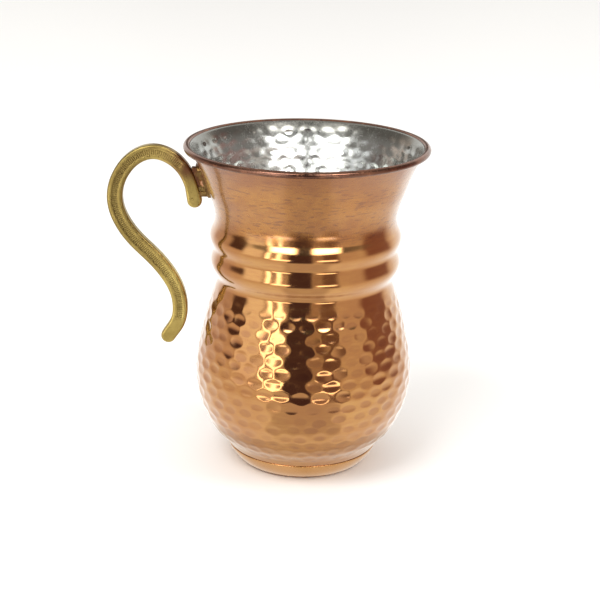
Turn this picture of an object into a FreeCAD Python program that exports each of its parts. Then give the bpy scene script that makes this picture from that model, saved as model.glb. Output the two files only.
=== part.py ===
"""Hammered copper mug: spun sheet body with two neck beads, a soldered base pan, a rolled and
wired rim, a tin lining, and a cast brass crook handle on a riveted saddle.

Millimetres.  +Z is up, the mug stands on Z = 0 with its axis on Z, and the handle points to -X.
"""
import FreeCAD
import Part

import math
import os

from FreeCAD import Vector

# Driving dimensions
HEIGHT = 130.0              # resting ring to the top of the rolled rim
SHEET = 0.8                 # copper sheet, body and base pan
TIN = 0.15                  # the lining; the real wiped coat is thinner

RIM_R = 46.5                # circle on which the rim wire lies
RIM_BEAD = 1.3              # outer radius of the rolled bead
RIM_WIRE = 0.45             # radius of the wire inside it
RIM_FLARE = math.radians(150.0)     # where the wall runs into the bead, seen from the bead's centre
RIM_CURL_END = math.radians(-135.0)  # where the rolled edge stops, just short of the wall

FOOT_R = 24.4               # outer edge of the resting ring
RING_WIDTH = 4.0            # flat ring that the mug stands on
DISH = 1.2                  # how far the middle of the base is raised
LEDGE_R, LEDGE_Z = 30.0, 6.9        # upper outer edge of the base pan's flange
LEDGE_STEP = 0.45           # width of that edge, where the body rises out of the pan
FLANGE_SWELL = (0.4, -0.5)  # how far the flange's middle lies off its chord, out and up
SEAT_R = 24.9               # body's lower outer edge, standing on the pan's floor
SOLDER_LEG = 1.6            # solder fillet inside, along the floor and up the wall
SOLDER_HOLLOW = 0.36        # where its hollow face lies from the corner, in legs; 0.5 is straight

# Body outside, from the pan's flange to the flare: (radius, height)
WALL = [
    (31.5, 9.7), (35.2, 13.7), (38.3, 18.2), (40.7, 23.4), (42.5, 29.9), (43.2, 36.4),
    (42.9, 42.9), (40.4, 55.9), (37.35, 67.6),
    (35.05, 74.2), (34.5, 76.7), (35.5, 79.1), (36.8, 81.5), (37.25, 84.2), (36.6, 87.0),
    (36.3, 88.8), (36.9, 90.8), (37.6, 93.6), (37.35, 95.5), (36.2, 98.2),
    (35.4, 101.1), (35.8, 104.0), (36.7, 107.5), (38.3, 111.9), (40.6, 118.4),
]
WALL_SAMPLES = 120          # points that carry the inner faces of the wall

# Handle, a cast bar in the XZ plane: (x, z, width across the bar), from the free end to the tail
BAR = [
    (-54.3, 50.6, 5.8), (-50.6, 56.4, 6.0), (-49.5, 62.6, 6.0), (-50.5, 69.0, 6.0),
    (-54.2, 76.5, 6.3), (-60.1, 83.7, 6.4), (-67.3, 91.0, 6.4), (-72.2, 98.2, 6.3),
    (-74.5, 105.4, 6.2), (-74.2, 111.4, 6.1), (-71.3, 118.2, 6.0), (-66.0, 123.6, 5.8),
    (-59.3, 125.7, 5.7), (-52.6, 123.6, 5.6), (-47.5, 118.6, 5.3), (-44.9, 112.8, 5.0),
    (-43.5, 106.7, 5.8),
]
BAR_THICK = 4.2             # along Y
BAR_EDGE = 0.8              # rounding of the bar's long edges

# Saddle between the bar's tail and the wall
PAD_THICK = 1.1             # plate that lies on the wall
PAD_HALF_WIDTH = 5.2
PAD_LOW, PAD_HIGH = 108.3, 121.0
WEB_HALF_WIDTH = 1.3        # rib from the plate to the bar
LIP_HALF_WIDTH = 1.9        # thicker lower edge of the rib
LIP_TALL = 2.0
WEB_EDGE = 0.5
PAD_CORNER = 2.2
MUG_CORE_R, BAR_CORE_R = 30.0, 44.5  # the saddle's blocks start in the mug and end in the bar

# Rivets through the saddle's plate, one on each side of the rib
RIVET_R = 1.1
RIVET_SIDE = 3.3            # distance from the XZ plane
RIVET_Z = 114.8
HEAD_OUT_R, HEAD_OUT_TALL = 1.7, 1.1
HEAD_IN_R, HEAD_IN_TALL = 2.3, 0.8
HEAD_SUNK = 0.6             # how far a head's blank reaches into what it sits on
RIVET_NEAR_R = 39.0         # starting guess for the wall's radius at the rivets


def point(r, z):
    """A point of a half section, in the XZ plane on the +X side."""
    return Vector(r, 0, z)


def line(a, b):
    return Part.makeLine(a, b)


def arc(a, through, b):
    return Part.Arc(a, through, b).toShape()


def spline(points, start, end):
    """Smooth curve through points with the given directions at its ends."""
    curve = Part.BSplineCurve()
    curve.interpolate(Points=points, InitialTangent=start, FinalTangent=end, Scale=False)
    return curve


def turned(edges):
    """Solid of revolution about Z from the edges of a closed half section."""
    face = Part.Face(Part.Wire(Part.__sortEdges__(edges)))
    return face.revolve(Vector(0, 0, 0), Vector(0, 0, 1), 360)


def on_circle(centre, radius, angle):
    return centre + point(radius * math.cos(angle), radius * math.sin(angle))


# Directions and meeting points of the half section
BEAD_CENTRE = point(RIM_R, HEIGHT - RIM_BEAD)
FLARE_DIR = point(math.sin(RIM_FLARE), -math.cos(RIM_FLARE))
SEAT_FOOT = point(SEAT_R, SHEET)
SEAT_TOP = point(LEDGE_R - LEDGE_STEP, LEDGE_Z)
SEAT_DIR = (SEAT_TOP - SEAT_FOOT).normalize()


def inward(direction):
    """The normal of a rising wall that points towards the axis."""
    return point(-direction.z, direction.x)


def wall_curves(depths):
    """The wall's face at each depth below the outside, as curves from the seat's top to the rim."""
    outer_end = on_circle(BEAD_CENTRE, RIM_BEAD - SHEET, RIM_FLARE)
    outer = spline([SEAT_TOP] + [point(r, z) for r, z in WALL] + [outer_end], SEAT_DIR, FLARE_DIR)
    curves = []
    first, last = outer.FirstParameter, outer.LastParameter
    for depth in depths:
        points = []
        for i in range(WALL_SAMPLES + 1):
            at = first + (last - first) * i / WALL_SAMPLES
            points.append(outer.value(at) + inward(Vector(*outer.tangent(at)[0])) * depth)
        curves.append(spline(points, SEAT_DIR, FLARE_DIR) if depth else outer)
    return curves


OUTSIDE, INSIDE, WETTED, PAD_FACE = wall_curves([0, SHEET, SHEET + TIN, -PAD_THICK])


def seat_line(depth, z):
    """Point at height z on the straight foot of the wall, at a depth below its outside."""
    start = SEAT_FOOT + inward(SEAT_DIR) * depth
    return start + SEAT_DIR * ((z - start.z) / SEAT_DIR.z)


def make_body_shell():
    """Spun wall: straight foot inside the pan, belly, beads, flare and the edge rolled outwards."""
    curl_r = RIM_BEAD - SHEET
    half_way = (RIM_FLARE + RIM_CURL_END) / 2
    inner_curl = [on_circle(BEAD_CENTRE, curl_r, a) for a in (RIM_FLARE, half_way, RIM_CURL_END)]
    outer_curl = [on_circle(BEAD_CENTRE, RIM_BEAD, a) for a in (RIM_FLARE, half_way, RIM_CURL_END)]
    foot_in, top_in = seat_line(SHEET, SHEET), INSIDE.StartPoint
    return turned([
        line(SEAT_FOOT, SEAT_TOP), OUTSIDE.toShape(), arc(*inner_curl),
        line(inner_curl[2], outer_curl[2]), arc(*outer_curl), INSIDE.toShape(),
        line(top_in, foot_in), line(foot_in, SEAT_FOOT),
    ])


def make_base_pan():
    """Disc with a raised middle, a flat resting ring and a flange that holds the wall's foot."""
    ring_in = FOOT_R - RING_WIDTH
    dish_r = ring_in - DISH
    outline = [
        point(0, DISH), point(dish_r, DISH), point(ring_in, 0), point(FOOT_R, 0),
    ]
    inside = [
        point(LEDGE_R, LEDGE_Z), SEAT_TOP, SEAT_FOOT, point(ring_in - SHEET / 2, SHEET),
        point(dish_r - SHEET / 2, DISH + SHEET), point(0, DISH + SHEET), point(0, DISH),
    ]
    swell = (outline[-1] + inside[0]) / 2 + point(*FLANGE_SWELL)
    flange = arc(outline[-1], swell, inside[0])
    edges = [line(a, b) for a, b in zip(outline, outline[1:])] + [flange]
    return turned(edges + [line(a, b) for a, b in zip(inside, inside[1:])])


def solder_corners():
    """Corner, end on the floor and end up the wall of the solder fillet's section."""
    corner = seat_line(SHEET, SHEET)
    return corner, corner - point(SOLDER_LEG, 0), corner + SEAT_DIR * SOLDER_LEG


def solder_face(shift):
    """Hollow face of the fillet, moved into the mug by shift."""
    corner, on_floor, up_wall = solder_corners()
    hollow = corner + (on_floor + up_wall - corner * 2) * SOLDER_HOLLOW
    return [p + point(-shift, shift) for p in (on_floor, hollow, up_wall)]


def make_base_solder_seam():
    corner, on_floor, up_wall = solder_corners()
    return turned([line(corner, on_floor), arc(*solder_face(0)), line(up_wall, corner)])


def make_rim_wire():
    return Part.makeTorus(RIM_R, RIM_WIRE, Vector(0, 0, BEAD_CENTRE.z))


def make_tin_lining():
    """Wiped tin over the whole inside: floor, solder fillet and wall, up to the rolled rim."""
    ring_in = FOOT_R - RING_WIDTH
    corner, on_floor, up_wall = solder_corners()
    low = [
        point(0, DISH + SHEET), point(ring_in - DISH - SHEET / 2, DISH + SHEET),
        point(ring_in - SHEET / 2, SHEET), on_floor,
    ]
    high = [p + point(0, TIN) for p in low[:3]]
    face = solder_face(TIN / math.sqrt(2))
    high.append(point(face[0].x, SHEET + TIN))
    wet_foot = seat_line(SHEET + TIN, face[2].z)
    edges = [line(a, b) for a, b in zip(low, low[1:])]
    edges += [arc(*solder_face(0)), line(up_wall, INSIDE.StartPoint), INSIDE.toShape()]
    edges += [line(INSIDE.EndPoint, WETTED.EndPoint), WETTED.toShape()]
    edges += [line(WETTED.StartPoint, wet_foot), arc(wet_foot, face[1], high[3])]
    edges += [line(a, b) for a, b in zip(high, high[1:])]
    return turned(edges + [line(high[0], low[0])])


def bar_edges():
    """The bar's two long edges and its rounded ends, in the XZ plane."""
    spine = Part.BSplineCurve()
    spine.interpolate(Points=[Vector(x, 0, z) for x, z, _ in BAR])
    left, right = [], []
    for x, z, width in BAR:
        centre = Vector(x, 0, z)
        along = Vector(*spine.tangent(spine.parameter(centre))[0])
        across = Vector(-along.z, 0, along.x) * (width / 2)
        left.append(centre + across)
        right.append(centre - across)
    starts = Vector(*spine.tangent(spine.FirstParameter)[0])
    ends = Vector(*spine.tangent(spine.LastParameter)[0])
    free_tip = Vector(BAR[0][0], 0, BAR[0][1]) - starts * (BAR[0][2] / 2)
    tail_tip = Vector(BAR[-1][0], 0, BAR[-1][1]) + ends * (BAR[-1][2] / 2)
    return [
        spline(left, starts, ends).toShape(), arc(left[-1], tail_tip, right[-1]),
        spline(right, starts, ends).toShape(), arc(left[0], free_tip, right[0]),
    ]


def make_handle_bar():
    """Flat cast bar bent to a crook, with its long edges rounded."""
    face = Part.Face(Part.Wire(Part.__sortEdges__(bar_edges())))
    face.translate(Vector(0, -BAR_THICK / 2, 0))
    bar = face.extrude(Vector(0, BAR_THICK, 0))
    rims = [e for e in bar.Edges if e.BoundBox.YLength < 0.01]
    return bar.makeFillet(BAR_EDGE, rims)


def filled(curve):
    """Everything inside one of the wall's faces, from the top of the seat to the rim."""
    low, high = point(0, curve.StartPoint.z), point(0, curve.EndPoint.z)
    return turned([
        line(low, curve.StartPoint), curve.toShape(), line(curve.EndPoint, high), line(high, low),
    ])


def slab(half_width, z_low, z_high, rounding):
    """Upright block about the XZ plane, from inside the mug into the bar, with rounded corners."""
    size = Vector(BAR_CORE_R - MUG_CORE_R, 2 * half_width, z_high - z_low)
    block = Part.makeBox(size.x, size.y, size.z, Vector(-BAR_CORE_R, -half_width, z_low))
    return block.makeFillet(rounding, [e for e in block.Edges if e.BoundBox.XLength > size.y])


def make_handle_saddle(bar):
    """Plate curved to the wall, with a rib out to the bar's tail and a lip under the rib."""
    plate = slab(PAD_HALF_WIDTH, PAD_LOW, PAD_HIGH, PAD_CORNER).common(filled(PAD_FACE))
    rib = slab(WEB_HALF_WIDTH, PAD_LOW + LIP_TALL / 2, PAD_HIGH - PAD_CORNER / 2, WEB_EDGE)
    lip = slab(LIP_HALF_WIDTH, PAD_LOW, PAD_LOW + LIP_TALL, WEB_EDGE)
    return plate.fuse([rib, lip]).cut([filled(OUTSIDE), bar]).removeSplitter()


def dome(base, tall, radius, way):
    """Rivet head along Z: a spherical cap of the given height, sunk a little below its base."""
    ball_r = (radius ** 2 + tall ** 2) / (2 * tall)
    ball = Part.makeSphere(ball_r, Vector(0, 0, base + way * (tall - ball_r)))
    start = Vector(0, 0, base - way * HEAD_SUNK)
    return ball.common(Part.makeCylinder(radius, tall + HEAD_SUNK, start, Vector(0, 0, way)))


def rivet_place(side):
    """Frame of a rivet: origin on the wall's outside, +Z square to the wall and out of it."""
    at = OUTSIDE.parameter(point(RIVET_NEAR_R, RIVET_Z))
    spot, rise = OUTSIDE.value(at), Vector(*OUTSIDE.tangent(at)[0])
    turn = FreeCAD.Rotation(Vector(0, 0, 1), 180 + side * math.degrees(RIVET_SIDE / spot.x))
    lean = FreeCAD.Rotation(Vector(0, 0, 1), inward(rise) * -1)
    return FreeCAD.Placement(turn.multVec(spot), turn.multiply(lean))


def make_rivets():
    """Rivets with a round head outside on the plate and a low head inside on the tin."""
    inner = -(SHEET + TIN)
    rivets, holes = [], []
    for side in (-1, 1):
        place = rivet_place(side)
        shank = Part.makeCylinder(RIVET_R, PAD_THICK + HEAD_SUNK - inner + HEAD_SUNK,
                                  Vector(0, 0, inner - HEAD_SUNK))
        head_out = dome(PAD_THICK, HEAD_OUT_TALL, HEAD_OUT_R, 1)
        head_in = dome(inner, HEAD_IN_TALL, HEAD_IN_R, -1)
        for shape in (shank, head_out, head_in):
            shape.Placement = place
        heads = [head_out.cut(filled(PAD_FACE)), head_in.common(filled(WETTED))]
        rivets.append(shank.fuse(heads).removeSplitter())
        holes.append(shank)
    return rivets, holes


def main():
    bar = make_handle_bar()
    rivets, holes = make_rivets()
    nodes = {
        "body_shell": make_body_shell().cut(holes),
        "base_pan": make_base_pan(),
        "base_solder_seam": make_base_solder_seam(),
        "rim_wire": make_rim_wire(),
        "tin_lining": make_tin_lining().cut(holes),
        "handle_bar": bar,
        "handle_saddle": make_handle_saddle(bar).cut(holes),
        "rivet_front": rivets[1],
        "rivet_back": rivets[0],
    }
    os.makedirs("parts", exist_ok=True)
    for name, shape in nodes.items():
        shape.exportStep("parts/" + name + ".step")
        print(name, "solids", len(shape.Solids), "volume", round(shape.Volume, 1),
              "valid", shape.isValid(), "closed", all(s.isClosed() for s in shape.Solids))


main()
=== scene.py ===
"""Hammered copper mug with a cast brass crook handle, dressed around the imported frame.

Metres throughout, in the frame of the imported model: the mug stands on Z = 0 with its axis on Z,
and the handle points to -X.  Outlines are written in millimetres and scaled by MM.
"""

import math

import bmesh
import bpy
import numpy as np
from mathutils import Matrix, Vector


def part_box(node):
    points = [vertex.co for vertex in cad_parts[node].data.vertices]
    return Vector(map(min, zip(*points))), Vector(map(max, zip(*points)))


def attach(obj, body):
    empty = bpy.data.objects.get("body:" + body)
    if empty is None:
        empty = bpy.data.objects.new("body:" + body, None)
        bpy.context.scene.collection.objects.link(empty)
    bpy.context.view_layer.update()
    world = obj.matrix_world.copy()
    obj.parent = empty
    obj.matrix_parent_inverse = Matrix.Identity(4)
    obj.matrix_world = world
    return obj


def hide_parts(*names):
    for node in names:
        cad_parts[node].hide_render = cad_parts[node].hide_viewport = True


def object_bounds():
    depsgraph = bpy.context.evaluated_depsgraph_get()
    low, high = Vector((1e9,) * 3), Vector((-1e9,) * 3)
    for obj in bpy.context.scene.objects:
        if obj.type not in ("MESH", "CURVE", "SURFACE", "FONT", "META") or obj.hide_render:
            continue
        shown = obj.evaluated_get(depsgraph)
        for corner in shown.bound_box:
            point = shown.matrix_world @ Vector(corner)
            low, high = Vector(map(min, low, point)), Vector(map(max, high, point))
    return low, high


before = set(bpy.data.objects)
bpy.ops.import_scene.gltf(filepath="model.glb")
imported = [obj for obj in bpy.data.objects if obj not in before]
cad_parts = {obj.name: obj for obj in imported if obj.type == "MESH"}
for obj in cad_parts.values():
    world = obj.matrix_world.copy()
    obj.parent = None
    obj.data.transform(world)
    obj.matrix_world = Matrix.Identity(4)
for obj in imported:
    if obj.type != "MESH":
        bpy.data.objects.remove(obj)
CAD_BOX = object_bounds()

MM = 0.001
BODY = "root"

# Copper wall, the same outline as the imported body: (radius, height) in mm
SHEET = 0.8 * MM
TIN = 0.15 * MM
SEAT_FOOT = np.array([24.9, 0.8]) * MM
SEAT_TOP = np.array([29.55, 6.9]) * MM
WALL = np.array([
    (31.5, 9.7), (35.2, 13.7), (38.3, 18.2), (40.7, 23.4), (42.5, 29.9), (43.2, 36.4),
    (42.9, 42.9), (40.4, 55.9), (37.35, 67.6),
    (35.05, 74.2), (34.5, 76.7), (35.5, 79.1), (36.8, 81.5), (37.25, 84.2), (36.6, 87.0),
    (36.3, 88.8), (36.9, 90.8), (37.6, 93.6), (37.35, 95.5), (36.2, 98.2),
    (35.4, 101.1), (35.8, 104.0), (36.7, 107.5), (38.3, 111.9), (40.6, 118.4),
]) * MM
HEIGHT = CAD_BOX[1][2]
RIM_BEAD = 1.3 * MM
RIM_CENTRE = np.array([46.5 * MM, HEIGHT - RIM_BEAD])
RIM_FLARE = math.radians(150)
RIM_CURL_END = math.radians(-135)
SKIN = 0.03 * MM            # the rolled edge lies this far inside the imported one, whose mesh cuts corners

# Hidden faces inside the wall are kept apart: each ends this far short of the sheet's inner side
COPPER_SHORT = 0.15 * MM
TIN_SHORT = 0.04 * MM
SHORT_FROM = 4 * MM         # and comes back to it over this length, at the rolled edge

# Base pan
FOOT_R = 24.4 * MM
RING_IN = 20.4 * MM
DISH = 1.2 * MM
LEDGE_R = 30.0 * MM
FLANGE_BULGE = np.array([0.4, -0.5]) * MM       # of the flange's middle, outwards and down
LEDGE_DROP = np.array([0.10, 0.06]) * MM        # of the flange's worn top edge, inwards and down
LEDGE_FILLET = np.array([(0.36, 0.12), (0.27, 0.27)]) * MM      # points from the ledge up against the wall
CORNER_R = SEAT_FOOT[0] - 1.1 * MM              # where the tinned wall meets the tinned floor
SOLDER_LEG = 1.6 * MM

# Handle bar, (x, z, width) in mm from the free end to the tail, in the plane Y = 0
BAR = np.array([
    (-54.3, 50.6, 5.8), (-50.6, 56.4, 6.0), (-49.5, 62.6, 6.0), (-50.5, 69.0, 6.0),
    (-54.2, 76.5, 6.3), (-60.1, 83.7, 6.4), (-67.3, 91.0, 6.4), (-72.2, 98.2, 6.3),
    (-74.5, 105.4, 6.2), (-74.2, 111.4, 6.1), (-71.3, 118.2, 6.0), (-66.0, 123.6, 5.8),
    (-59.3, 125.7, 5.7), (-52.6, 123.6, 5.6), (-47.5, 118.6, 5.3), (-44.9, 112.8, 5.0),
    (-43.5, 106.7, 5.8),
]) * MM
BAR_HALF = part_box("handle_bar")[1][1]
BAR_EDGE = 0.8 * MM         # radius of its long edges
BAR_SKIN = 0.02 * MM        # the bar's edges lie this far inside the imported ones
BAR_SHOULDER = 0.28         # outer share of the half width, drawn with points closer towards the edge
BAR_FLAT = 0.62             # middle share, which carries the milled band
BAND_HALF = 1.15 * MM       # milled band along the flat sides
BAND_DEEP = 0.22 * MM
BAND_PITCH = 0.78 * MM
BAND_START, BAND_STOP = 8.5 * MM, 104 * MM      # along the bar from the free end's centre
BAND_FADE = 0.6 * MM        # length of the band's soft ends
GROOVE = "groove"           # vertex attribute: how deep in the milled band, 0 to 1

# Hammer marks
MARKS_ROUND = 36
MARK_ROW = 4.5 * MM         # rows on the belly
MARK_DEEP = 0.27 * MM
INNER_ROW = 4.1 * MM        # rows inside the mouth
INNER_DEEP = 0.24 * MM
COLUMNS = MARKS_ROUND * 11  # columns of vertices round the mug
MARK_TURNS = np.arange(COLUMNS)[None, :] / COLUMNS * MARKS_ROUND    # their angles, counted in marks
PAN_COLUMNS = 240
DENT_SHADE = "dent_shade"         # vertex attribute: painted shade low in each hammer mark, for the dark crescent the dent mirrors, 0 to 1
DENT_SHADE_DROP = 0.8 * MM     # how far below the mark's middle the painted shade gathers

# Camera in front of the mug and above it, looking along +Y and down, with a slight roll
CAMERA_PLACE = (0, -0.572, 0.25884)
CAMERA_PITCH, CAMERA_YAW, CAMERA_ROLL = math.radians(18.617), math.radians(-0.174), math.radians(1.009)
CAMERA_LENS, CAMERA_SENSOR = 90.8, 36       # both in mm


# ---------------------------------------------------------------- curves

class Curve:
    """Cubic spline through points, by chord length, with given directions at its ends."""

    def __init__(self, points, first, last):
        p = np.asarray(points, float)
        self.p = p
        self.t = np.concatenate([[0], np.cumsum(np.linalg.norm(np.diff(p, axis=0), axis=1))])
        h = np.diff(self.t)
        n = len(p)
        a = np.eye(n)
        b = np.zeros_like(p)
        b[0], b[-1] = first, last
        for i in range(1, n - 1):
            a[i, i - 1:i + 2] = 1 / h[i - 1], 2 / h[i - 1] + 2 / h[i], 1 / h[i]
            b[i] = 3 * ((p[i] - p[i - 1]) / h[i - 1] ** 2 + (p[i + 1] - p[i]) / h[i] ** 2)
        self.m = np.linalg.solve(a, b)

    def at(self, t):
        """Points and unit directions at the parameters t."""
        t = np.asarray(t, float)
        i = np.clip(np.searchsorted(self.t, t, side="right") - 1, 0, len(self.t) - 2)
        h = (self.t[i + 1] - self.t[i])[:, None]
        u = (t[:, None] - self.t[i][:, None]) / h
        p0, p1, m0, m1 = self.p[i], self.p[i + 1], self.m[i] * h, self.m[i + 1] * h
        point = ((2 * u ** 3 - 3 * u ** 2 + 1) * p0 + (u ** 3 - 2 * u ** 2 + u) * m0
                 + (3 * u ** 2 - 2 * u ** 3) * p1 + (u ** 3 - u ** 2) * m1)
        slope = (6 * u ** 2 - 6 * u) * (p0 - p1) + (3 * u ** 2 - 4 * u + 1) * m0 + (3 * u ** 2 - 2 * u) * m1
        return point, slope / np.linalg.norm(slope, axis=1)[:, None]


def unit(v):
    return np.asarray(v, float) / np.linalg.norm(v)


def on_circle(centre, radius, angles):
    """Points of a half section on a circle, at angles from the outward direction."""
    return np.asarray(centre) + radius * np.column_stack([np.cos(angles), np.sin(angles)])


def three_point_arc(a, b, c, count):
    """Points on the circle through a, b and c, from a to c."""
    m = np.array([b - a, c - a]) * 2
    centre = np.linalg.solve(m, [b @ b - a @ a, c @ c - a @ a])
    start, stop = (math.atan2(*(p - centre)[::-1]) for p in (a, c))
    return on_circle(centre, np.linalg.norm(a - centre), np.linspace(start, stop, count))


FLARE_DIR = np.array([math.sin(RIM_FLARE), -math.cos(RIM_FLARE)])
SEAT_DIR = unit(SEAT_TOP - SEAT_FOOT)
WALL_END = on_circle(RIM_CENTRE, RIM_BEAD - SHEET, [RIM_FLARE])[0]
wall_curve = Curve(np.vstack([SEAT_TOP, WALL, WALL_END]), SEAT_DIR, FLARE_DIR)

# Arc length along the wall, for spacing rows of vertices and of hammer marks
FINE_T = np.linspace(0, wall_curve.t[-1], 6000)
FINE_POINTS = wall_curve.at(FINE_T)[0]
FINE_LENGTHS = np.concatenate([[0], np.cumsum(np.linalg.norm(np.diff(FINE_POINTS, axis=0), axis=1))])
WALL_LENGTH = FINE_LENGTHS[-1]


def wall_at(s, depth=0.0):
    """Half-section points at arc length s, at a depth below the outside."""
    point, way = wall_curve.at(np.interp(s, FINE_LENGTHS, FINE_T))
    return point + np.column_stack([-way[:, 1], way[:, 0]]) * np.reshape(depth, (-1, 1))


def length_at(z):
    """Arc length at which the wall reaches height z."""
    return float(np.interp(z, FINE_POINTS[:, 1], FINE_LENGTHS))


S_BELLY_TOP = length_at(74.6 * MM)
S_BEADS_TOP = length_at(98.5 * MM)


def rows(stops):
    """Arc lengths from (start, spacing) pairs and a last stop."""
    out = []
    for (a, step), (b, _) in zip(stops, stops[1:]):
        out.append(np.linspace(a, b, max(1, round((b - a) / step)), endpoint=False))
    return np.concatenate(out + [[stops[-1][0]]])


# Coarser rows, from the rim down, for faces that lie against each other out of sight
HIDDEN_STOPS = [(0, 8 * MM), (S_BELLY_TOP - 5 * MM, 1.8 * MM), (S_BEADS_TOP, 6 * MM), (WALL_LENGTH, 0)]
HIDDEN_ROWS = rows(HIDDEN_STOPS)[::-1]


def smoothstep(x, a, b):
    """0 up to a, 1 from b on, smooth between."""
    u = np.clip((x - a) / (b - a), 0, 1)
    return u * u * (3 - 2 * u)


# ---------------------------------------------------------------- hammer marks

class Marks:
    """Staggered rows of shallow oval hammer marks, each a little off its place, depth and tilt."""

    def __init__(self, first, row, rows_count, deep, half_s, half_turn, jitter, seed):
        rng = np.random.default_rng(seed)
        shape = (rows_count, MARKS_ROUND)
        self.first, self.row, self.count = first, row, rows_count
        self.half_s = half_s * rng.uniform(0.92, 1.08, shape)
        self.half_turn = half_turn * rng.uniform(0.92, 1.08, shape)
        self.deep = deep * rng.uniform(0.72, 1.18, shape)
        self.ds = rng.normal(0, jitter, shape) * row
        self.dturn = rng.normal(0, jitter, shape)
        self.lean_s = rng.normal(0, 0.16, shape)
        self.lean_turn = rng.normal(0, 0.16, shape)

    def depth(self, s, turn):
        """Depth of the marks at arc length s and at turn, an angle counted in marks."""
        best = np.zeros(np.broadcast(s, turn).shape)
        near = np.floor((s - self.first) / self.row + 0.5).astype(int)
        for dj in (-1, 0, 1):
            j = near + dj
            inside = (j >= 0) & (j < self.count)
            jj = np.clip(j, 0, self.count - 1)
            offset = 0.5 * (jj % 2)
            k0 = np.floor(turn - offset + 0.5).astype(int)
            for dk in (-1, 0, 1):
                k = (k0 + dk) % MARKS_ROUND
                a = (s - self.first - jj * self.row - self.ds[jj, k]) / self.half_s[jj, k]
                b = (turn - offset - (k0 + dk) - self.dturn[jj, k]) / self.half_turn[jj, k]
                lens = 1 - a * a - b * b + self.lean_s[jj, k] * a + self.lean_turn[jj, k] * b
                best = np.maximum(best, np.where(inside, self.deep[jj, k] * lens, 0))
        return best


# The marks on the belly, their faint traces outside on the flare, and those inside
outer_marks = Marks(first=2.2 * MM, row=MARK_ROW, rows_count=18, deep=MARK_DEEP,
                    half_s=2.2 * MM, half_turn=0.48, jitter=0.075, seed=3)
ghost_marks = Marks(first=S_BEADS_TOP + 1 * MM, row=INNER_ROW, rows_count=7, deep=0.03 * MM,
                    half_s=2.3 * MM, half_turn=0.45, jitter=0.05, seed=5)
inner_marks = Marks(first=3.0 * MM, row=INNER_ROW, rows_count=35, deep=INNER_DEEP,
                    half_s=2.1 * MM, half_turn=0.47, jitter=0.045, seed=5)


# ---------------------------------------------------------------- mesh helpers

def new_object(name, verts, faces, smooth=True):
    """A mesh object in the scene."""
    mesh = bpy.data.meshes.new(name)
    mesh.from_pydata([tuple(v) for v in verts], [], [tuple(f) for f in faces])
    mesh.validate()
    mesh.update()
    if smooth:
        mesh.shade_smooth()
    obj = bpy.data.objects.new(name, mesh)
    bpy.context.collection.objects.link(obj)
    return obj


MERGE = 0.001 * MM          # points this near the axis are one point


def ring_faces(loops, columns, closed):
    """Quads between successive rings of vertices, and back to the first ring if closed."""
    j = np.arange(loops if closed else loops - 1)
    k = np.arange(columns)
    a, b = np.meshgrid(j, k, indexing="ij")
    a2, b2 = (a + 1) % loops, (b + 1) % columns
    quads = np.stack([a * columns + b, a * columns + b2, a2 * columns + b2, a2 * columns + b], axis=-1)
    return quads.reshape(-1, 4)


def turned(name, section, columns=COLUMNS):
    """Solid of revolution from a closed half section of shape (rows, 2) or (rows, columns, 2)."""
    section = np.asarray(section)
    if section.ndim == 2:
        section = np.repeat(section[:, None, :], columns, axis=1)
    angle = np.linspace(0, 2 * math.pi, columns, endpoint=False)
    r, z = section[..., 0], section[..., 1]
    verts = np.stack([r * np.cos(angle), r * np.sin(angle), z], axis=-1).reshape(-1, 3)
    obj = new_object(name, verts, ring_faces(section.shape[0], columns, True))
    bm = bmesh.new()
    bm.from_mesh(obj.data)
    bmesh.ops.remove_doubles(bm, verts=[v for v in bm.verts if v.co.xy.length < MERGE], dist=MERGE)
    bm.to_mesh(obj.data)
    bm.free()
    return obj


def finish_piece(obj, nodes, slot, *materials):
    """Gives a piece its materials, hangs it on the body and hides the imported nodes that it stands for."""
    for m in materials:
        obj.data.materials.append(m)
    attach(obj, BODY)
    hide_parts(*nodes)


def store(obj, name, values):
    """A number on each vertex, for the materials."""
    obj.data.attributes.new(name, "FLOAT", "POINT").data.foreach_set("value", np.ravel(values))


# ---------------------------------------------------------------- material helpers

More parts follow.
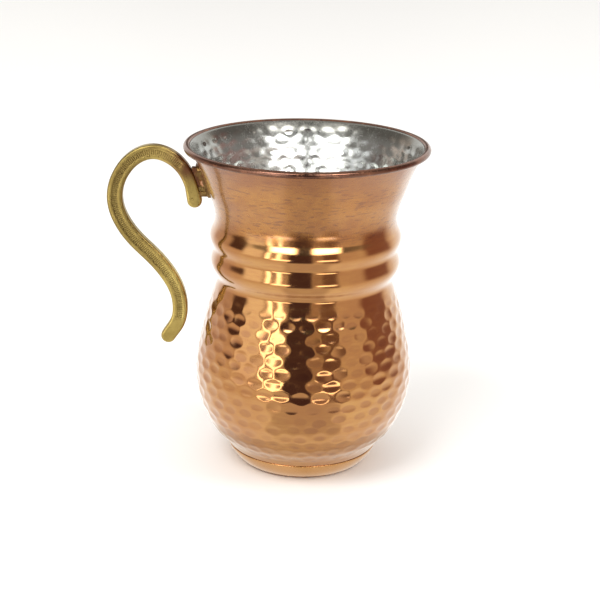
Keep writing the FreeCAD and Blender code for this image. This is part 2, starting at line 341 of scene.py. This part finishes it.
class Nodes:
    """A small builder for procedural materials on object coordinates, in millimetres."""

    def __init__(self, name):
        self.material = bpy.data.materials.new(name)
        self.material.use_nodes = True
        self.tree = self.material.node_tree
        self.shader = self.tree.nodes["Principled BSDF"]
        self.shader.inputs["Metallic"].default_value = 1.0
        where = self.add("ShaderNodeTexCoord")
        scale = self.add("ShaderNodeVectorMath", operation="SCALE")
        scale.inputs["Scale"].default_value = 1 / MM
        self.link(where.outputs["Object"], scale.inputs[0])
        self.point = scale.outputs[0]
        self.normal = None

    def add(self, kind, **settings):
        node = self.tree.nodes.new(kind)
        for key, value in settings.items():
            setattr(node, key, value)
        return node

    def link(self, a, b):
        self.tree.links.new(a, b)

    def math(self, operation, a, b=None):
        node = self.add("ShaderNodeMath", operation=operation)
        for socket, value in zip(node.inputs, (a, b)):
            if value is None:
                continue
            if isinstance(value, (int, float)):
                socket.default_value = value
            else:
                self.link(value, socket)
        return node.outputs[0]

    def xyz(self):
        node = self.add("ShaderNodeSeparateXYZ")
        self.link(self.point, node.inputs[0])
        return node.outputs

    def round_point(self, around, up):
        """Coordinates that run round the axis and up, scaled, so that noise can be streaked."""
        x, y, z = self.xyz()
        node = self.add("ShaderNodeCombineXYZ")
        angle = self.math("ARCTAN2", y, x)
        self.link(self.math("MULTIPLY", self.math("COSINE", angle), around), node.inputs[0])
        self.link(self.math("MULTIPLY", self.math("SINE", angle), around), node.inputs[1])
        self.link(self.math("MULTIPLY", z, up), node.inputs[2])
        return node.outputs[0]

    def noise(self, scale, detail=3.0, rough=0.55, point=None):
        node = self.add("ShaderNodeTexNoise")
        node.inputs["Scale"].default_value = scale
        node.inputs["Detail"].default_value = detail
        node.inputs["Roughness"].default_value = rough
        self.link(point or self.point, node.inputs["Vector"])
        return node.outputs["Fac"]

    def attribute(self, name):
        """A number stored on the mesh's vertices, 0 where the mesh has none."""
        return self.add("ShaderNodeAttribute", attribute_name=name).outputs["Fac"]

    def span(self, value, low, high, to_low=0.0, to_high=1.0, smooth=False):
        node = self.add("ShaderNodeMapRange")
        node.interpolation_type = "SMOOTHSTEP" if smooth else "LINEAR"
        self.link(value, node.inputs["Value"])
        for key, number in (("From Min", low), ("From Max", high), ("To Min", to_low), ("To Max", to_high)):
            node.inputs[key].default_value = number
        return node.outputs[0]

    def mix(self, factor, a, b):
        """Colour mix; a and b are colours or sockets."""
        node = self.add("ShaderNodeMix", data_type="RGBA")
        self.link(factor, node.inputs["Factor"])
        for socket, value in ((node.inputs[6], a), (node.inputs[7], b)):
            if isinstance(value, tuple):
                socket.default_value = (*value, 1)
            else:
                self.link(value, socket)
        return node.outputs[2]

    def bump(self, height, distance, strength=1.0):
        """Adds a layer of bump; distance is in millimetres."""
        node = self.add("ShaderNodeBump")
        node.inputs["Strength"].default_value = strength
        node.inputs["Distance"].default_value = distance * MM
        self.link(height, node.inputs["Height"])
        if self.normal is not None:
            self.link(self.normal, node.inputs["Normal"])
        self.normal = node.outputs["Normal"]

    def done(self, colour, roughness, **constants):
        self.link(colour, self.shader.inputs["Base Color"])
        self.link(roughness, self.shader.inputs["Roughness"])
        if self.normal is not None:
            self.link(self.normal, self.shader.inputs["Normal"])
        for key, value in constants.items():
            self.shader.inputs[key.replace("_", " ")].default_value = value
        return self.material


# ---------------------------------------------------------------- materials

COPPER = (0.50, 0.244, 0.068)
COPPER_RED = (0.43, 0.183, 0.054)
COPPER_SATIN = (0.40, 0.175, 0.046)
# for the flare's cloudy mottling and for the painted shade in the hammer marks
COPPER_MOTTLE_AND_SHADE = (0.30, 0.115, 0.045)
# painted shade for the band under the rim
COPPER_RIM_SHADE = (0.26, 0.095, 0.040)
COPPER_DARK = (0.20, 0.085, 0.05)
COPPER_PALE = (0.60, 0.32, 0.125)
RIM_WORN = (0.30, 0.14, 0.085)
RIM_BROWN = (0.16, 0.08, 0.055)
TIN_BRIGHT = (0.55, 0.565, 0.545)
TIN_CLOUDED = (0.43, 0.44, 0.42)
TIN_EDGE = (0.19, 0.185, 0.16)
BRASS = (0.50, 0.385, 0.12)
BRASS_AGED = (0.31, 0.22, 0.065)
# painted shade for the crook's outer bend
BRASS_SHADED_SIDE = (0.20, 0.145, 0.045)
BRASS_SPECK = (0.22, 0.13, 0.05)
# patina with painted shade near the wall
BRASS_PATINA_AND_SHADE = (0.14, 0.055, 0.03)
# darker colour down in the milled band
BRASS_GROOVE_DARK = (0.09, 0.06, 0.02)


def copper_material():
    """Polished hammered belly and beads, brushed flare and foot, with stains, dashes, painted shade low in
    each hammer mark and painted shade under the rim.
    """
    n = Nodes("copper_hammered")
    z = n.xyz()[2]
    stain = n.span(n.noise(0.045, 4), 0.42, 0.72)
    colour = n.mix(stain, COPPER, COPPER_RED)
    streak = n.noise(1.0, 5, 0.6, n.round_point(5, 0.8))
    colour = n.mix(n.span(streak, 0.40, 0.65, 0, 0.6), colour, COPPER_RED)
    # painted shade: darker low in each hammer mark, where the dent's tilted face mirrors the dark room
    dent_shade_mask = n.span(n.attribute(DENT_SHADE), 0.15, 0.6, smooth=True)
    dent_shade_mask = n.math("MULTIPLY", dent_shade_mask, n.span(n.noise(0.06, 3), 0.4, 0.62, 0.12, 0.5))
    colour = n.mix(dent_shade_mask, colour, COPPER_MOTTLE_AND_SHADE)
    flare = n.span(z, 97, 102, 0, 1, smooth=True)
    foot = n.span(z, 26, 14, 0, 0.6, smooth=True)
    satin = n.math("MAXIMUM", flare, foot)
    polish = n.span(n.noise(0.35, 4), 0.3, 0.8, 0.06, 0.15)
    rough = n.math("ADD", polish, n.math("MULTIPLY", satin, 0.17))
    brush = n.noise(1.0, 5, 0.65, n.round_point(7, 1.7))
    colour = n.mix(n.math("MULTIPLY", flare, 0.4), colour, COPPER_SATIN)
    dash = n.span(n.noise(1.0, 2, 0.5, n.round_point(9, 1.3)), 0.55, 0.66, 0, 0.6)
    colour = n.mix(n.math("MULTIPLY", dash, satin), colour, COPPER_DARK)
    cloud = n.span(n.noise(1.0, 3, 0.5, n.round_point(4, 0.16)), 0.45, 0.65, 0, 0.5)
    colour = n.mix(n.math("MULTIPLY", cloud, flare), colour, COPPER_MOTTLE_AND_SHADE)
    # painted shade: darker towards the rim, where the flare mirrors the shaded floor next to the mug
    under_rim_shade = n.span(z, 117, 127, 0, 0.6, smooth=True)
    colour = n.mix(under_rim_shade, colour, COPPER_RIM_SHADE)
    n.bump(n.math("MULTIPLY", brush, n.span(satin, 0, 1, 0.22, 1)), 0.035, 0.5)
    n.bump(n.noise(0.9, 3), 0.02, 0.2)
    return n.done(colour, rough, Coat_Weight=0.8, Coat_Roughness=0.12)


def rim_material():
    """Rolled edge, browned by heat and handling."""
    n = Nodes("copper_rim_browned")
    worn = n.span(n.noise(0.25, 4), 0.45, 0.75)
    colour = n.mix(worn, RIM_BROWN, RIM_WORN)
    rough = n.span(n.noise(0.8, 4), 0.3, 0.8, 0.16, 0.34)
    n.bump(n.noise(1.2, 5), 0.03, 0.5)
    return n.done(colour, rough)


def pan_material():
    """Spun base pan with fine turning lines."""
    n = Nodes("copper_base_spun")
    stain = n.span(n.noise(0.08, 4), 0.4, 0.75)
    colour = n.mix(stain, COPPER_PALE, COPPER)
    rough = n.span(n.noise(0.6, 4), 0.3, 0.8, 0.20, 0.32)
    n.bump(n.noise(1.0, 4, 0.6, n.round_point(3, 9)), 0.015, 0.35)
    return n.done(colour, rough, Coat_Weight=0.5, Coat_Roughness=0.15)


def tin_material():
    """Hand-wiped bright tin, with cloudy wipe marks, darkened under the rim."""
    n = Nodes("tin_wiped")
    cloud = n.span(n.noise(0.12, 5), 0.35, 0.75)
    colour = n.mix(cloud, TIN_BRIGHT, TIN_CLOUDED)
    edge = n.span(n.xyz()[2], 122.5, 127.5, 0, 0.8, smooth=True)
    colour = n.mix(edge, colour, TIN_EDGE)
    rough = n.span(n.noise(0.5, 4), 0.3, 0.8, 0.19, 0.32)
    n.bump(n.noise(1.4, 5, 0.6), 0.012, 0.25)
    return n.done(colour, rough, Coat_Weight=0.25, Coat_Roughness=0.10)


def brass_material(name, patina_shade_low, patina_shade_high):
    """Cast and filed brass, olive with age, with painted shade on the outer bend and darker down in the
    milled band.

    A dark reddish patina with painted shade comes in near the wall, over the heights given by the last two
    arguments, in millimetres.
    """
    n = Nodes(name)
    age = n.span(n.noise(0.11, 5), 0.4, 0.72)
    colour = n.mix(age, BRASS, BRASS_AGED)
    speck = n.span(n.noise(1.6, 4), 0.62, 0.75)
    colour = n.mix(speck, colour, BRASS_SPECK)
    x, _, z = n.xyz()
    # painted shade: darker towards the crook's outer bend, which faces away from the light
    outer = n.span(x, -52, -70, 0, 0.75, smooth=True)
    colour = n.mix(outer, colour, BRASS_SHADED_SIDE)
    # patina and painted shade: darker and reddish near the wall and high up, where the saddle and the tail
    # sit in shade under the rim
    near_wall = n.span(x, -60, -46, smooth=True)
    high = n.span(z, patina_shade_low, patina_shade_high, smooth=True)
    patina = n.math("MULTIPLY", near_wall, high)
    patina = n.math("MULTIPLY", patina, n.span(n.noise(0.3, 4), 0.35, 0.6, 0.5, 0.95))
    colour = n.mix(patina, colour, BRASS_PATINA_AND_SHADE)
    # darker down in the milled band's grooves
    colour = n.mix(n.math("MULTIPLY", n.attribute(GROOVE), 0.7), colour, BRASS_GROOVE_DARK)
    rough = n.span(n.noise(0.7, 5), 0.3, 0.8, 0.26, 0.48)
    n.bump(n.noise(1.8, 5, 0.6), 0.06, 0.6)
    return n.done(colour, rough)


def rivet_material():
    """Peened copper outside; the heads inside the mug are tinned with the wall."""
    n = Nodes("rivet_copper_tinned")
    x, y, _ = n.xyz()
    radius = n.math("SQRT", n.math("ADD", n.math("MULTIPLY", x, x), n.math("MULTIPLY", y, y)))
    outside = n.span(radius, 38.4, 39.0)
    spot = n.mix(n.span(n.noise(0.9, 3), 0.4, 0.7), (0.70, 0.38, 0.22), (0.38, 0.18, 0.10))
    colour = n.mix(outside, (0.74, 0.74, 0.71), spot)
    rough = n.span(n.noise(1.1, 3), 0.3, 0.8, 0.22, 0.40)
    n.bump(n.noise(1.5, 3), 0.05, 0.6)
    return n.done(colour, rough)


def grey_metal_material(name, light, dark):
    """Solder and iron wire, both out of sight."""
    n = Nodes(name)
    colour = n.mix(n.span(n.noise(0.8, 3), 0.4, 0.7), light, dark)
    rough = n.span(n.noise(1.3, 3), 0.3, 0.8, 0.35, 0.55)
    n.bump(n.noise(2.0, 3), 0.03, 0.5)
    return n.done(colour, rough)


# ---------------------------------------------------------------- pieces

def dented(s, depth):
    """Points of the wall at arc lengths s in every column, at depths of shape (rows, columns)."""
    return np.stack([wall_at(s, depth[:, k]) for k in range(COLUMNS)], axis=1)


def plain(section):
    """The same half-section points in every column."""
    return np.repeat(section[:, None], COLUMNS, axis=1)


def hammered_wall(s):
    """Depth of the belly's marks and the flare's faint ones at arc lengths s, and the painted shade low in
    each mark.
    """
    fade = smoothstep(s, 1.5 * MM, 6 * MM) * (1 - smoothstep(s, S_BELLY_TOP - 7 * MM, S_BELLY_TOP))
    near_foot = 0.55 + 0.45 * smoothstep(s, 12 * MM, 30 * MM)
    share = (fade * near_foot)[:, None]
    depth = outer_marks.depth(s[:, None], MARK_TURNS) * share
    # painted shade: each mark's outline moved down, kept within the mark
    dropped = outer_marks.depth(s[:, None] + DENT_SHADE_DROP, MARK_TURNS)
    dent_shade = np.minimum(dropped, depth * 3) * share / MARK_DEEP
    depth += ghost_marks.depth(s[:, None], MARK_TURNS)
    depth[-1] = 0
    return depth, dent_shade


def make_body():
    """Copper wall: straight foot, hammered belly, beads, flare, rolled edge and the hidden inside."""
    foot = np.linspace(SEAT_FOOT, SEAT_TOP, 3, endpoint=False)
    s = rows([(0, 0.56 * MM), (S_BELLY_TOP, 0.6 * MM), (S_BEADS_TOP, 2.4 * MM), (WALL_LENGTH, 0)])
    depth, dent_shade = hammered_wall(s)
    inner_curl = on_circle(RIM_CENTRE, RIM_BEAD - SHEET, np.linspace(RIM_FLARE, RIM_CURL_END, 5)[1:])
    outer_curl = on_circle(RIM_CENTRE, RIM_BEAD - SKIN, np.linspace(RIM_CURL_END, RIM_FLARE, 17))
    s_in = HIDDEN_ROWS[1:]
    inside = wall_at(s_in, SHEET - COPPER_SHORT * smoothstep(WALL_LENGTH - s_in, 0, SHORT_FROM))
    foot_in = SEAT_FOOT + np.array([-SEAT_DIR[1], SEAT_DIR[0]]) * (SHEET - COPPER_SHORT)
    foot_in = foot_in + SEAT_DIR * ((SEAT_FOOT[1] - foot_in[1]) / SEAT_DIR[1])
    section = np.concatenate([
        plain(foot), dented(s, depth), plain(np.vstack([inner_curl, outer_curl, inside, foot_in]))])
    obj = turned("mug_body", section)
    finish_piece(obj, ["body_shell"], "copper_sheet", copper_material(), rim_material())
    first = len(foot) + len(s) + len(inner_curl) - 1
    last = first + len(outer_curl)
    index = np.zeros(len(obj.data.polygons), dtype=np.int32)
    index[first * COLUMNS:last * COLUMNS] = 1
    obj.data.polygons.foreach_set("material_index", index)
    # painted shade low in the hammer marks, stored for the copper
    dent_shade_mask = np.zeros(section.shape[:2])
    dent_shade_mask[len(foot):len(foot) + len(s)] = dent_shade
    store(obj, DENT_SHADE, dent_shade_mask)


def make_lining():
    """Tin over the whole inside, with the hammer marks that show in the mouth."""
    s = rows([(0, 1.0 * MM), (S_BELLY_TOP, 0.75 * MM), (WALL_LENGTH, 0)])
    fade = smoothstep(s, 4 * MM, 10 * MM) * smoothstep(WALL_LENGTH - s, 1.8 * MM, 3.2 * MM)
    fade *= 0.45 + 0.55 * smoothstep(s, S_BEADS_TOP - 6 * MM, S_BEADS_TOP)
    dent = inner_marks.depth(s[:, None], MARK_TURNS) * fade[:, None]
    floor_z = SHEET + TIN
    floor = np.array([
        (0, DISH + floor_z), (RING_IN - DISH - 0.4 * MM, DISH + floor_z),
        (RING_IN - 0.2 * MM, floor_z), (CORNER_R - SOLDER_LEG, floor_z),
        (CORNER_R - 0.35 * SOLDER_LEG, floor_z + 0.22 * SOLDER_LEG),
        (CORNER_R + 0.55 * SOLDER_LEG, floor_z + SOLDER_LEG),
    ])
    back = wall_at(HIDDEN_ROWS, SHEET - TIN_SHORT * smoothstep(WALL_LENGTH - HIDDEN_ROWS, 0, SHORT_FROM))
    under = floor[::-1] - np.array([0, 0.1 * MM])
    section = np.concatenate([
        plain(floor), dented(s, SHEET + TIN - dent), plain(np.vstack([back, under]))])
    finish_piece(turned("tin_inside", section), ["tin_lining"], "tin", tin_material())


def make_pan():
    """Base pan: dished middle, resting ring and the flange up to its fine ledge."""
    bottom, top = np.array([FOOT_R, 0]), np.array([LEDGE_R, SEAT_TOP[1]])
    flange = three_point_arc(bottom, (bottom + top) / 2 + FLANGE_BULGE, top, 26)
    flange[-1] -= LEDGE_DROP
    dish_r = RING_IN - DISH
    section = np.vstack([
        (0, DISH), (dish_r - 0.5 * MM, DISH), (dish_r, DISH - 0.08 * MM), (RING_IN - 0.15 * MM, 0.04 * MM),
        (RING_IN + 0.2 * MM, 0), (FOOT_R - 0.3 * MM, 0), flange,
        SEAT_TOP + LEDGE_FILLET, SEAT_TOP, SEAT_FOOT,
        (RING_IN - 0.4 * MM, SHEET), (dish_r - 0.4 * MM, DISH + SHEET), (0, DISH + SHEET),
    ])
    finish_piece(turned("base_dish", section, PAN_COLUMNS), ["base_pan"], "copper_base", pan_material())


def make_bar():
    """Crook of flat bar with rounded edges, round ends and a milled band on both flat sides."""
    centres, widths = BAR[:, :2], BAR[:, 2]
    spine = Curve(centres, unit(centres[1] - centres[0]), unit(centres[-1] - centres[-2]))
    around = places_round_bar()
    rings, grooves = [], []
    for base, beyond in bar_stations(spine.t[-1], widths):
        (centre,), (way,) = spine.at(np.array([base]))
        full = float(np.interp(base, spine.t, widths / 2)) - BAR_SKIN
        half = math.sqrt(max(full ** 2 - beyond ** 2, 0))
        cut = [milling(across * half, base) if beyond == 0 else 0.0 for _, across in around]
        rings.append(bar_ring(centre + way * beyond, way, full, half, beyond, cut, around))
        grooves += cut
    verts = np.concatenate(rings)
    count = len(around)
    faces = [list(f) for f in ring_faces(len(rings), count, False)]
    faces.append(list(range(count))[::-1])
    faces.append(list(range(len(verts) - count, len(verts))))
    obj = new_object("crook_handle", verts, faces)
    store(obj, GROOVE, np.array(grooves) / BAND_DEEP)
    finish_piece(obj, ["handle_bar"], "cast_brass", brass_material("brass_bar", 112, 119))


def bar_stations(length, widths):
    """Where the bar's rings lie: (place along the spine, distance past an end's centre)."""
    cap = np.sin(np.linspace(0, math.pi / 2, 11)[1:])
    along = rows([(0, 0.9 * MM), (BAND_START, BAND_PITCH / 4), (BAND_STOP, 0.5 * MM), (length, 0)])
    stations = [(0.0, -widths[0] / 2 * past) for past in cap[::-1]]
    stations += [(place, 0.0) for place in along]
    stations += [(length, widths[-1] / 2 * past) for past in cap]
    return stations


def places_round_bar():
    """Places round the bar's section: (side, position across), with side 1 in front and -1 behind."""
    shoulder = BAR_SHOULDER * (1 - np.cos(np.linspace(0, math.pi / 2, 6)))
    across = np.concatenate([-1 + shoulder, np.linspace(-BAR_FLAT, BAR_FLAT, 15), 1 - shoulder[::-1]])
    return [(1, x) for x in across] + [(-1, x) for x in across[::-1]]


def bar_ring(centre, way, full, half, beyond, cut, around):
    """One ring of the bar's surface, cut down by the milling; beyond is as in bar_stations."""
    ring = []
    for (side, across), depth in zip(around, cut):
        u = across * half
        edge = full - math.hypot(u, beyond)
        v = BAR_HALF - depth
        if edge < BAR_EDGE:
            v -= BAR_EDGE - math.sqrt(max(BAR_EDGE ** 2 - (BAR_EDGE - edge) ** 2, 0))
        ring.append((centre[0] - way[1] * u, -side * v, centre[1] + way[0] * u))
    return np.array(ring)


def milling(u, base):
    """Depth of the milled band at a distance u across and base along the bar."""
    inside = 1 - smoothstep(abs(u), BAND_HALF - 0.15 * MM, BAND_HALF + 0.1 * MM)
    run = smoothstep(base, BAND_START, BAND_START + BAND_FADE)
    run *= 1 - smoothstep(base, BAND_STOP - BAND_FADE, BAND_STOP)
    tooth = 0.5 + 0.5 * math.cos(2 * math.pi * base / BAND_PITCH)
    return float(inside * run * BAND_DEEP * (0.25 + 0.75 * tooth))


def dress_cad_nodes():
    """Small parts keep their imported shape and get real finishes."""
    finishes = {
        "handle_saddle": brass_material("brass_saddle", 105, 108),
        "rivet_front": rivet_material(),
        "rivet_back": rivet_material(),
        "rim_wire": grey_metal_material("iron_wire", (0.45, 0.45, 0.46), (0.25, 0.23, 0.22)),
        "base_solder_seam": grey_metal_material("soft_solder", (0.62, 0.62, 0.60), (0.42, 0.42, 0.41)),
    }
    for node, material in finishes.items():
        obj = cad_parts[node]
        obj.data.materials.clear()
        obj.data.materials.append(material)


# ---------------------------------------------------------------- studio

FLOOR_HALF = 6.0
LIGHT_TARGET = (0, 0, 0.06)


def floor_material():
    """Pale, even and almost matt."""
    material = bpy.data.materials.new("pale_floor")
    material.use_nodes = True
    shader = material.node_tree.nodes["Principled BSDF"]
    shader.inputs["Base Color"].default_value = (0.90, 0.895, 0.885, 1)
    shader.inputs["Roughness"].default_value = 0.9
    shader.inputs["Specular IOR Level"].default_value = 0.2
    return material


def make_floor():
    """A wide plain floor at the mug's foot."""
    a = FLOOR_HALF
    corners = [(-a, -a, 0), (a, -a, 0), (a, a, 0), (-a, a, 0)]
    floor = new_object("floor", corners, [(0, 1, 2, 3)], smooth=False)
    floor.data.materials.append(floor_material())


# What the polished metal mirrors, seen from the middle of the mug: azimuths from -Y towards +X and
# elevations in degrees, colour, brightness, softness of the edges in degrees.  Later ones lie on top.
ROOM = [
    ((-180, 180), (-90, 90), (1.00, 1.00, 0.98), 1.28, 4),      # pale walls and floor
    ((-180, 180), (54, 90), (1.00, 0.98, 0.95), 0.80, 10),      # ceiling
    ((-135, 125), (-18, 54), (1.00, 0.88, 0.77), 1.05, 9),      # the open side of the room
    ((-135, 125), (19, 54), (1.00, 0.93, 0.86), 0.30, 4),       # its dark upper half
    ((-135, -76), (-2, 20), (0.98, 0.80, 0.69), 0.85, 5),
    ((-100, -76), (3, 24), (0.90, 0.55, 0.50), 0.16, 4),
    ((-76, -50), (-8, 26), (0.98, 0.99, 1.00), 1.55, 4),        # window
    ((-50, -22), (-12, 24), (1.00, 0.88, 0.80), 0.72, 4),
    ((-46, -41), (-9, 25), (1.00, 1.00, 1.00), 5.5, 1.2),       # bright window panes
    ((-33, -28), (-9, 25), (1.00, 1.00, 1.00), 5.5, 1.2),
    ((-50, -20), (24, 60), (1.00, 0.97, 0.93), 0.50, 5),
    ((-20, 9), (20, 60), (1.00, 0.97, 0.93), 0.13, 2),          # dark wall over the figure
    ((-20, 9), (-19, 22), (1.00, 0.62, 0.74), 0.12, 2),         # dark figure with the camera
    ((9, 20), (-14, 24), (1.00, 0.80, 0.70), 0.62, 3),
    ((20, 40), (-19, 30), (1.00, 0.66, 0.58), 0.30, 3),
    ((9, 44), (26, 60), (1.00, 0.97, 0.93), 0.38, 4),
    ((40, 74), (-12, 24), (1.00, 0.87, 0.78), 0.95, 5),
    ((74, 116), (-10, 24), (1.00, 0.56, 0.50), 0.42, 6),        # warm furniture
    ((-44, -12), (27, 41), (1.00, 0.99, 0.97), 12.0, 4.5),      # softboxes
    ((10, 44), (27, 41), (1.00, 0.99, 0.97), 12.0, 4.5),
    ((-38, -17), (-11, -7), (1.00, 0.99, 0.97), 5.5, 1.6),      # strips of light under them
    ((14, 36), (-11, -7), (1.00, 0.99, 0.97), 5.0, 1.6),
    ((-180, 180), (-90, -59), (1.00, 0.92, 0.82), 0.95, 3),     # floor under the foot's edge
    ((-180, 180), (-58, -51), (1.00, 0.88, 0.74), 0.80, 3),     # the mug's shade round its foot
    ((-26, 30), (-46, -19), (1.00, 0.94, 0.90), 0.90, 5),       # the figure's shade on the floor
    ((172, 190), (-5, 35), (0.80, 0.60, 0.50), 0.30, 5),        # behind the mug
]
ROOM_R = 1.6
ROOM_FLOOR_R = 0.0255       # closer in, the real floor shows
ROOM_EYE = 0.055            # height that the directions are seen from
ROOM_STEP = 2.0             # degrees between the columns of its mesh
ROOM_TOP = 89.5             # elevation where its mesh ends


def between(x, low, high, soft):
    """1 from low to high and 0 outside, with soft edges."""
    return smoothstep(x, low - soft, low + soft) * (1 - smoothstep(x, high - soft, high + soft))


def room_colour(azimuth, elevation):
    """Colours of the room in these directions, each patch laid over those before it."""
    colour = np.zeros(azimuth.shape + (3,))
    for azimuths, elevations, tint, strength, soft in ROOM:
        side = np.ones(azimuth.shape)
        if azimuths[1] - azimuths[0] < 360:
            middle = (azimuths[0] + azimuths[1]) / 2
            turn = (azimuth - middle + 180) % 360 - 180 + middle
            side = between(turn, *azimuths, soft)
        cover = (side * between(elevation, *elevations, soft))[..., None]
        colour = colour * (1 - cover) + cover * np.array(tint) * strength
    return colour


def room_material():
    """Glows with the colours stored on the bowl's vertices."""
    material = bpy.data.materials.new("room_glow")
    material.use_nodes = True
    tree = material.node_tree
    tree.nodes.clear()
    source = tree.nodes.new("ShaderNodeVertexColor")
    source.layer_name = "glow"
    emission = tree.nodes.new("ShaderNodeEmission")
    out = tree.nodes.new("ShaderNodeOutputMaterial")
    tree.links.new(source.outputs["Color"], emission.inputs["Color"])
    tree.links.new(emission.outputs[0], out.inputs[0])
    return material


def make_room():
    """A bowl round the set that only mirrors see: floor from ROOM_FLOOR_R outwards, walls and ceiling."""
    low = math.degrees(math.atan2(-ROOM_EYE, ROOM_R))
    floor_el = np.linspace(math.degrees(math.atan2(-ROOM_EYE, ROOM_FLOOR_R)), low, 24, endpoint=False)
    wall_el = np.linspace(low, ROOM_TOP, 48)
    elevation = np.concatenate([floor_el, wall_el])
    slope = np.radians(elevation)
    on_floor = elevation < low
    radius = np.where(on_floor, -ROOM_EYE / np.tan(np.where(on_floor, slope, -1)), ROOM_R * np.cos(slope))
    height = np.where(on_floor, 0.001, ROOM_EYE + ROOM_R * np.sin(slope))
    azimuth = np.arange(-180, 180, ROOM_STEP)
    az, el = np.meshgrid(azimuth, elevation)
    turn = np.radians(az)
    verts = np.stack([radius[:, None] * np.sin(turn), -radius[:, None] * np.cos(turn),
                      np.broadcast_to(height[:, None], az.shape)], axis=-1).reshape(-1, 3)
    room = new_object("room", verts, ring_faces(len(elevation), len(azimuth), False))
    glow = room.data.color_attributes.new("glow", "FLOAT_COLOR", "POINT")
    rgba = np.concatenate([room_colour(az, el), np.ones(az.shape + (1,))], axis=-1)
    glow.data.foreach_set("color", rgba.astype(np.float32).ravel())
    room.data.materials.append(room_material())
    room.visible_camera = False
    room.visible_diffuse = False
    room.visible_shadow = False


def area_light(name, place, size, power):
    """A soft lamp aimed at the mug, which mirrors and the camera don't see."""
    data = bpy.data.lights.new(name, "AREA")
    data.shape = "RECTANGLE"
    data.size, data.size_y = size
    data.energy = power
    obj = bpy.data.objects.new(name, data)
    obj.location = place
    obj.rotation_euler = (Vector(LIGHT_TARGET) - Vector(place)).to_track_quat("-Z", "Y").to_euler()
    obj.visible_camera = False
    obj.visible_glossy = False
    bpy.context.collection.objects.link(obj)


def make_studio():
    """A pale studio: even world light, floor, the mirrored room and two soft lamps."""
    world = bpy.data.worlds.new("studio")
    world.use_nodes = True
    background = world.node_tree.nodes["Background"]
    background.inputs["Color"].default_value = (1.0, 0.985, 0.96, 1)
    background.inputs["Strength"].default_value = 0.95
    bpy.context.scene.world = world
    bpy.context.scene.view_settings.view_transform = "Standard"
    make_floor()
    make_room()
    area_light("key", (-0.5, -0.6, 1.1), (0.7, 0.5), 9)
    area_light("fill", (0.9, -0.3, 0.8), (0.5, 0.7), 4)


def make_camera():
    """The camera, turned by its yaw, pitch and roll."""
    level = math.cos(CAMERA_PITCH)
    ahead = Vector((math.sin(CAMERA_YAW) * level, math.cos(CAMERA_YAW) * level, -math.sin(CAMERA_PITCH)))
    right = Vector((math.cos(CAMERA_YAW), -math.sin(CAMERA_YAW), 0))
    up = right.cross(ahead)
    cos_roll, sin_roll = math.cos(CAMERA_ROLL), math.sin(CAMERA_ROLL)
    right, up = right * cos_roll + up * sin_roll, up * cos_roll - right * sin_roll
    data = bpy.data.cameras.new("camera")
    data.sensor_width = CAMERA_SENSOR
    data.lens = CAMERA_LENS
    data.clip_start = 0.01
    camera = bpy.data.objects.new("camera", data)
    turn = Matrix((right, up, -ahead)).transposed()
    camera.matrix_world = Matrix.Translation(CAMERA_PLACE) @ turn.to_4x4()
    bpy.context.collection.objects.link(camera)
    bpy.context.scene.camera = camera


make_camera()
make_studio()
make_body()
make_lining()
make_pan()
make_bar()
dress_cad_nodes()
